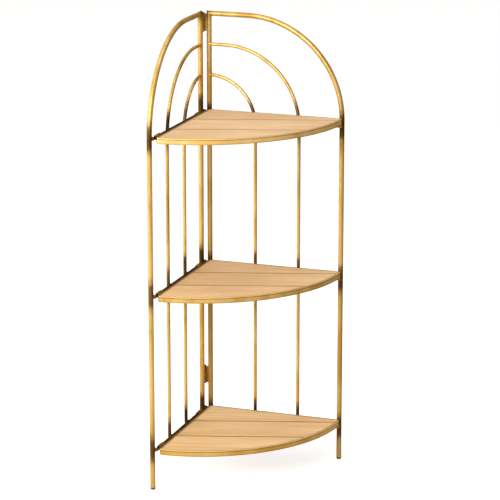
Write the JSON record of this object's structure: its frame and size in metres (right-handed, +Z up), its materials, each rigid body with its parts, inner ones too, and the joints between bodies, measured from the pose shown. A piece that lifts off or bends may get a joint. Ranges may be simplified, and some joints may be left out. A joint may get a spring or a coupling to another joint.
{
  "type": "tiered corner plant stand",
  "caption": "Folding corner plant stand: two hinged panels of bent tube with nested arches carry quarter-round wooden shelves in flat-bar frames that flip up about the left panel's rails.",
  "frame": {"origin": "centre of the bounding box's footprint, on the floor under the feet", "axes": "+Z up; the hinge line between the panels is the back corner at -X +Y, the left panel runs from it along -Y and the right panel along +X, so the rounded shelf rims face +X -Y"},
  "size_m": [0.363, 0.363, 1.091],
  "materials": {
    "gilt_tube": "antiqued brass-gold lacquer on steel tube, satin, burnished dark at the joints",
    "gilt_rod": "antiqued brass-gold lacquer on steel rod, satin, burnished dark at the ends",
    "burnished_rail": "the same lacquer, burnished nearly all over",
    "gilt_bar": "antiqued brass-gold lacquer on flat steel bar, satin",
    "hinge_eye": "antiqued brass-gold lacquer on steel strip",
    "hinge_metal": "antiqued lacquer on steel, burnished dark",
    "strap_metal": "antiqued lacquer on flat steel strap",
    "screw_steel": "zinc-plated pan-head screws",
    "board_wood": "pale pine, satin clear finish",
    "foot_plastic": "dark brown moulded plastic"
  },
  "bodies": {
    "left_panel": {"left_bottom_rail": "burnished_rail", "left_front_foot": "foot_plastic", "left_front_rod": "gilt_rod", "left_middle_rail": "burnished_rail", "left_outer_tube": "gilt_tube", "left_rear_foot": "foot_plastic", "left_rear_post": "gilt_tube", "left_rear_rod": "gilt_rod", "left_top_rail": "burnished_rail", "lower_hinge_left_leaf": "hinge_metal", "lower_hinge_pin": "hinge_metal", "upper_hinge_left_leaf": "hinge_metal", "upper_hinge_pin": "hinge_metal"},
    "right_panel": {"lower_hinge_right_leaf": "hinge_metal", "right_bottom_rail": "burnished_rail", "right_front_foot": "foot_plastic", "right_front_rod": "gilt_rod", "right_middle_rail": "burnished_rail", "right_outer_tube": "gilt_tube", "right_rear_foot": "foot_plastic", "right_rear_post": "gilt_tube", "right_rear_rod": "gilt_rod", "right_top_rail": "burnished_rail", "upper_hinge_right_leaf": "hinge_metal"},
    "top_shelf": {"top_shelf_back_board": "board_wood", "top_shelf_frame": "gilt_bar", "top_shelf_front_board": "board_wood", "top_shelf_front_eye": "hinge_eye", "top_shelf_middle_board": "board_wood", "top_shelf_rear_eye": "hinge_eye", "top_shelf_screws": "screw_steel", "top_shelf_straps": "strap_metal"},
    "middle_shelf": {"middle_shelf_back_board": "board_wood", "middle_shelf_frame": "gilt_bar", "middle_shelf_front_board": "board_wood", "middle_shelf_front_eye": "hinge_eye", "middle_shelf_middle_board": "board_wood", "middle_shelf_rear_eye": "hinge_eye", "middle_shelf_screws": "screw_steel", "middle_shelf_straps": "strap_metal"},
    "bottom_shelf": {"bottom_shelf_back_board": "board_wood", "bottom_shelf_frame": "gilt_bar", "bottom_shelf_front_board": "board_wood", "bottom_shelf_front_eye": "hinge_eye", "bottom_shelf_middle_board": "board_wood", "bottom_shelf_rear_eye": "hinge_eye", "bottom_shelf_screws": "screw_steel", "bottom_shelf_straps": "strap_metal"}
  },
  "joints": [
    {"name": "panel_fold", "type": "hinge", "parent": "left_panel", "child": "right_panel", "pos_m": [-0.1755, 0.1755, 0.18], "axis": [0, 0, 1], "range_deg": [0, 90]},
    {"name": "top_shelf_flip", "type": "hinge", "parent": "left_panel", "child": "top_shelf", "pos_m": [-0.1655, 0, 0.85], "axis": [0, -1, 0], "range_deg": [0, 90]},
    {"name": "middle_shelf_flip", "type": "hinge", "parent": "left_panel", "child": "middle_shelf", "pos_m": [-0.1655, 0, 0.475], "axis": [0, -1, 0], "range_deg": [0, 90]},
    {"name": "bottom_shelf_flip", "type": "hinge", "parent": "left_panel", "child": "bottom_shelf", "pos_m": [-0.1655, 0, 0.1], "axis": [0, -1, 0], "range_deg": [0, 90]}
  ]
}
